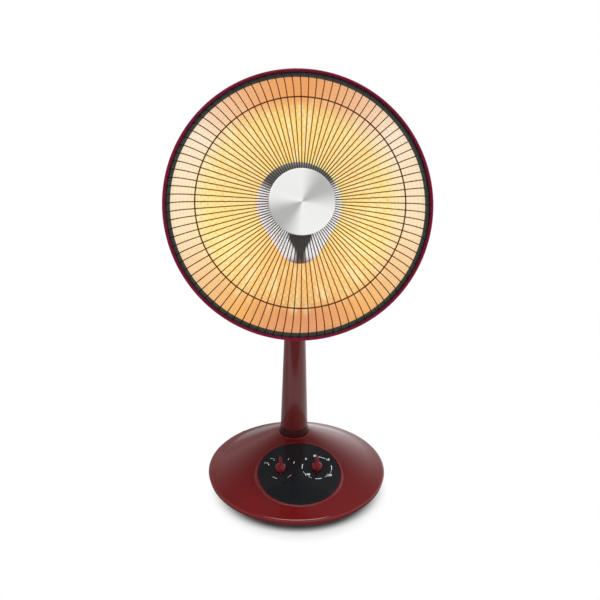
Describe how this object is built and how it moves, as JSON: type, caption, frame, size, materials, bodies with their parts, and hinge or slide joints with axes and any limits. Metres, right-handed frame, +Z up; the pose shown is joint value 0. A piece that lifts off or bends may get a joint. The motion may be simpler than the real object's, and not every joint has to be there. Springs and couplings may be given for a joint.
{
  "type": "dish heater",
  "caption": "Parabolic dish radiant heater: tilting dish with radial wire guard and ring lamp on a swivelling column over a round base with two rotary controls.",
  "frame": {"origin": "centre of the base on the floor, midway across and front to back", "axes": "+Z up, -Y towards the person who is warmed, +X to the right of someone looking along +Y at the dish's front"},
  "size_m": [0.38, 0.2748, 0.6226],
  "materials": {
    "red_plastic": "deep red, high gloss moulded",
    "knob_red": "deep red, satin gloss",
    "black_steel": "black powder coat",
    "cast_iron": "as cast",
    "rubber": "matt",
    "steel": "zinc plated",
    "panel_black": "black, high gloss with white dial marks",
    "cream_plastic": "natural nylon",
    "black_plastic": "black, fine moulded grain",
    "brass": "turned",
    "reflector": "embossed reflector sheet lit by the lamp",
    "crimson_paint": "crimson gloss paint",
    "guard_wire": "dark coated wire",
    "spun_aluminium": "spun with fine concentric lines",
    "quartz": "clear quartz",
    "filament": "glowing coil",
    "ceramic": "unglazed",
    "shield_mirror": "polished"
  },
  "bodies": {
    "base": {"base_cover": "red_plastic", "base_plate": "black_steel", "ballast_ring": "cast_iron", "rubber_feet": "rubber", "base_screws": "steel", "control_panel": "panel_black", "power_switch": "cream_plastic", "timer_body": "steel", "tip_switch": "black_plastic", "cord_gland": "rubber", "terminal_block": "cream_plastic", "upper_bush": "cream_plastic", "lower_bearing": "cream_plastic", "osc_motor": "steel"},
    "plunger": {"tip_plunger": "cream_plastic"},
    "crank": {"crank": "brass"},
    "link": {"link_rod": "steel"},
    "power_knob": {"power_knob": "knob_red", "power_spindle": "steel"},
    "timer_knob": {"timer_knob": "knob_red", "timer_spindle": "steel"},
    "column": {"swing_lever": "steel", "lever_pin": "brass", "retaining_ring": "steel", "column_collar": "red_plastic", "column_shell": "red_plastic", "stand_pipe": "steel", "neck_fork": "black_plastic", "tilt_bolt": "steel", "tilt_nut": "steel"},
    "head": {"tilt_knuckle": "black_plastic", "knuckle_screws": "steel", "rear_shell": "black_plastic", "terminal_cover": "black_plastic", "cover_screws": "steel", "reflector": "reflector", "reflector_spacers": "steel", "thermal_cutout": "steel", "rim_ring": "crimson_paint", "guard_wires": "guard_wire", "guard_rings": "guard_wire", "hub_badge": "spun_aluminium", "hub_backplate": "steel", "hub_screw": "steel", "ring_lamp": "quartz", "filament": "filament", "lamp_caps": "ceramic", "lamp_bracket": "steel", "lamp_clips": "steel", "shield": "shield_mirror", "shield_post": "steel", "shield_nuts": "steel"}
  },
  "joints": [
    {"name": "column_swivel", "type": "hinge", "parent": "base", "child": "column", "pos_m": [0, 0.05, 0.05], "axis": [0, 0, 1], "range_deg": [-35, 35]},
    {"name": "head_tilt", "type": "hinge", "parent": "column", "child": "head", "pos_m": [0, 0.05, 0.319], "axis": [-1, 0, 0], "range_deg": [-24, 6]},
    {"name": "crank_spin", "type": "hinge", "parent": "base", "child": "crank", "pos_m": [0.038, 0.03, 0.02], "axis": [0, 0, 1], "continuous": true},
    {"name": "link_turn", "type": "hinge", "parent": "column", "child": "link", "pos_m": [0, 0.03, 0.025], "axis": [0, 0, 1], "range_deg": [-35, 35]},
    {"name": "power_knob_turn", "type": "hinge", "parent": "base", "child": "power_knob", "pos_m": [-0.028, -0.03747, 0.0361], "axis": [0, -0.23, 0.9732], "range_deg": [-75, 75]},
    {"name": "timer_knob_turn", "type": "hinge", "parent": "base", "child": "timer_knob", "pos_m": [0.028, -0.03747, 0.0361], "axis": [0, 0.23, -0.9732], "range_deg": [0, 300]},
    {"name": "tip_plunger_slide", "type": "slide", "parent": "base", "child": "plunger", "axis": [0, 0, -1], "range_m": [0, 0.005], "stiffness_N_per_m": 60, "springref_m": 0.007}
  ],
  "couplings": [
    {"joint": "link_turn", "follows": "column_swivel", "ratio": -1}
  ]
}
